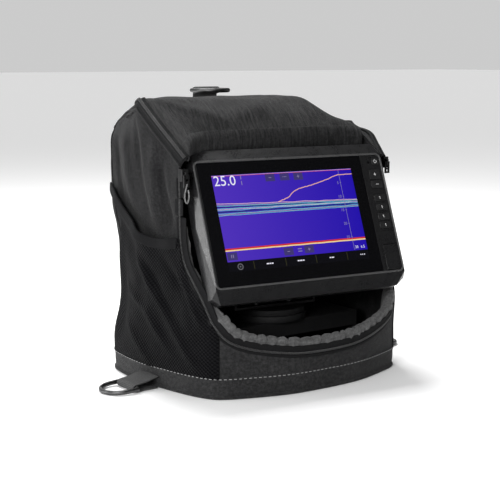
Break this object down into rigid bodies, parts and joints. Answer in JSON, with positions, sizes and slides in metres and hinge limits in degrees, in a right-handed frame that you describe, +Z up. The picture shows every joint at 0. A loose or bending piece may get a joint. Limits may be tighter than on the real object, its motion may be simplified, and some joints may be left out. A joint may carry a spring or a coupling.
{
  "type": "portable fish finder",
  "caption": "Portable fish finder: a touch-screen sonar display on a tilting, swivelling mount inside an open-fronted fabric carry bag with side pockets and a battery.",
  "frame": {"origin": "middle of the bag's base, on the floor", "axes": "+X to the user's right, +Y to the back of the bag, +Z up; the user looks along +Y at the screen"},
  "size_m": [0.4654, 0.2712, 0.3558],
  "materials": {
    "nylon_black": "woven nylon, dull",
    "mesh_black": "open knitted mesh",
    "webbing_grey": "flat webbing",
    "lining_grey": "brushed lining",
    "board": "stiff board",
    "zip_black": "moulded zip teeth",
    "dark_metal": "dark satin coating",
    "steel": "bright zinc",
    "cord_silver": "thin braided cord",
    "tray_plastic": "grained",
    "housing_plastic": "fine grain",
    "key_rubber": "satin",
    "screen_glass": "gloss",
    "lcd": "lit sonar picture",
    "backlight_white": "white",
    "circuit_green": "solder mask",
    "ceramic": "ceramic",
    "seal_rubber": "soft",
    "battery_grey": "moulded",
    "brass_tabs": "tinned"
  },
  "bodies": {
    "bag": {"base_panel": "board", "base_band": "nylon_black", "front_panel": "nylon_black", "side_panel_left": "nylon_black", "side_panel_right": "nylon_black", "back_panel": "nylon_black", "hood": "nylon_black", "mouth_lining": "lining_grey", "hood_zips": "zip_black", "mouth_zip": "zip_black", "mesh_pocket_left": "mesh_black", "mesh_pocket_right": "mesh_black", "pocket_bindings": "webbing_grey", "side_webbings": "webbing_grey", "top_webbing": "webbing_grey", "inner_tray": "tray_plastic", "tray_screws": "steel", "battery_case": "battery_grey", "battery_terminals": "brass_tabs", "battery_strap": "nylon_black", "swivel_base": "tray_plastic", "mount_screws": "steel"},
    "swivel_head": {"turntable": "housing_plastic", "bail_bracket": "housing_plastic", "bail_screws": "steel"},
    "knob_left": {"bail_knob_left": "tray_plastic"},
    "knob_right": {"bail_knob_right": "tray_plastic"},
    "display": {"cradle": "housing_plastic", "rear_housing": "housing_plastic", "housing_gasket": "seal_rubber", "front_bezel": "housing_plastic", "housing_screws": "steel", "cover_glass": "screen_glass", "lcd_panel": "lcd", "backlight": "backlight_white", "keypad_panel": "housing_plastic", "keypad_board": "circuit_green", "main_board": "circuit_green", "gps_antenna": "ceramic", "speaker": "tray_plastic", "card_bay": "tray_plastic", "power_socket": "tray_plastic", "sonar_sockets": "tray_plastic"},
    "latch": {"latch_lever": "tray_plastic"},
    "door": {"card_door": "housing_plastic"},
    "power_button": {"power_button": "key_rubber"},
    "zoom_in_button": {"zoom_in_button": "key_rubber"},
    "zoom_out_button": {"zoom_out_button": "key_rubber"},
    "shortcut_key_1": {"shortcut_key_1": "key_rubber"},
    "shortcut_key_2": {"shortcut_key_2": "key_rubber"},
    "shortcut_key_3": {"shortcut_key_3": "key_rubber"},
    "shortcut_key_4": {"shortcut_key_4": "key_rubber"},
    "ring_left": {"side_ring_left": "dark_metal"},
    "ring_right": {"side_ring_right": "dark_metal"},
    "ring_top": {"top_ring": "dark_metal"},
    "zip_left": {"zip_slider_left": "dark_metal"},
    "tab_left": {"zip_tab_left": "dark_metal", "pull_cord": "cord_silver"},
    "zip_right": {"zip_slider_right": "dark_metal"},
    "tab_right": {"zip_tab_right": "dark_metal"}
  },
  "joints": [
    {"name": "mount_swivel", "type": "hinge", "parent": "bag", "child": "swivel_head", "pos_m": [0, -0.014, 0.077], "axis": [0, 0, 1], "range_deg": [0, 10]},
    {"name": "display_tilt", "type": "hinge", "parent": "swivel_head", "child": "display", "pos_m": [-0.00115, -0.02492, 0.15933], "axis": [-0.9945, 0.1045, 0], "range_deg": [-2, 12]},
    {"name": "bail_knob_left_turn", "type": "hinge", "parent": "swivel_head", "child": "knob_left", "pos_m": [-0.06679, -0.01802, 0.15933], "axis": [0.9945, -0.1045, 0], "continuous": true},
    {"name": "bail_knob_right_turn", "type": "hinge", "parent": "swivel_head", "child": "knob_right", "pos_m": [0.06449, -0.03182, 0.15933], "axis": [0.9945, -0.1045, 0], "continuous": true},
    {"name": "latch_lever_hinge", "type": "hinge", "parent": "display", "child": "latch", "pos_m": [0.00089, -0.00551, 0.22588], "axis": [-0.9945, 0.1045, 0], "range_deg": [0, 18], "stiffness_Nm_per_rad": 0.2, "springref_deg": -11.46},
    {"name": "card_door_hinge", "type": "hinge", "parent": "display", "child": "door", "pos_m": [0.10843, -0.13035, 0.13515], "axis": [0.9945, -0.1045, 0], "range_deg": [0, 95]},
    {"name": "power_button_press", "type": "slide", "parent": "display", "child": "power_button", "axis": [0.0968, 0.9212, -0.3769], "range_m": [0, 0.0008], "stiffness_N_per_m": 1500, "springref_m": -0.0004},
    {"name": "zoom_in_button_press", "type": "slide", "parent": "display", "child": "zoom_in_button", "axis": [0.0968, 0.9212, -0.3769], "range_m": [0, 0.0008], "stiffness_N_per_m": 1500, "springref_m": -0.0004},
    {"name": "zoom_out_button_press", "type": "slide", "parent": "display", "child": "zoom_out_button", "axis": [0.0968, 0.9212, -0.3769], "range_m": [0, 0.0008], "stiffness_N_per_m": 1500, "springref_m": -0.0004},
    {"name": "shortcut_key_1_press", "type": "slide", "parent": "display", "child": "shortcut_key_1", "axis": [0.0968, 0.9212, -0.3769], "range_m": [0, 0.0008], "stiffness_N_per_m": 1500, "springref_m": -0.0004},
    {"name": "shortcut_key_2_press", "type": "slide", "parent": "display", "child": "shortcut_key_2", "axis": [0.0968, 0.9212, -0.3769], "range_m": [0, 0.0008], "stiffness_N_per_m": 1500, "springref_m": -0.0004},
    {"name": "shortcut_key_3_press", "type": "slide", "parent": "display", "child": "shortcut_key_3", "axis": [0.0968, 0.9212, -0.3769], "range_m": [0, 0.0008], "stiffness_N_per_m": 1500, "springref_m": -0.0004},
    {"name": "shortcut_key_4_press", "type": "slide", "parent": "display", "child": "shortcut_key_4", "axis": [0.0968, 0.9212, -0.3769], "range_m": [0, 0.0008], "stiffness_N_per_m": 1500, "springref_m": -0.0004},
    {"name": "side_ring_left_hinge", "type": "hinge", "parent": "bag", "child": "ring_left", "pos_m": [-0.196, 0.005, 0.00495], "axis": [0, 1, 0], "range_deg": [0, 95]},
    {"name": "side_ring_right_hinge", "type": "hinge", "parent": "bag", "child": "ring_right", "pos_m": [0.196, 0.005, 0.00495], "axis": [0, -1, 0], "range_deg": [0, 95]},
    {"name": "top_ring_hinge", "type": "hinge", "parent": "bag", "child": "ring_top", "pos_m": [0, 0.124, 0.35105], "axis": [-1, 0, 0], "range_deg": [0, 170]},
    {"name": "zip_slider_left_slide", "type": "slide", "parent": "bag", "child": "zip_left", "axis": [0, 0, -1], "range_m": [0, 0.045]},
    {"name": "zip_tab_left_hinge", "type": "hinge", "parent": "zip_left", "child": "tab_left", "pos_m": [-0.1547, -0.063, 0.26], "axis": [-1, 0, 0], "range_deg": [0, 140]},
    {"name": "zip_slider_right_slide", "type": "slide", "parent": "bag", "child": "zip_right", "axis": [0, 0, -1], "range_m": [0, 0.045]},
    {"name": "zip_tab_right_hinge", "type": "hinge", "parent": "zip_right", "child": "tab_right", "pos_m": [0.1547, -0.063, 0.26], "axis": [-1, 0, 0], "range_deg": [0, 140]}
  ]
}
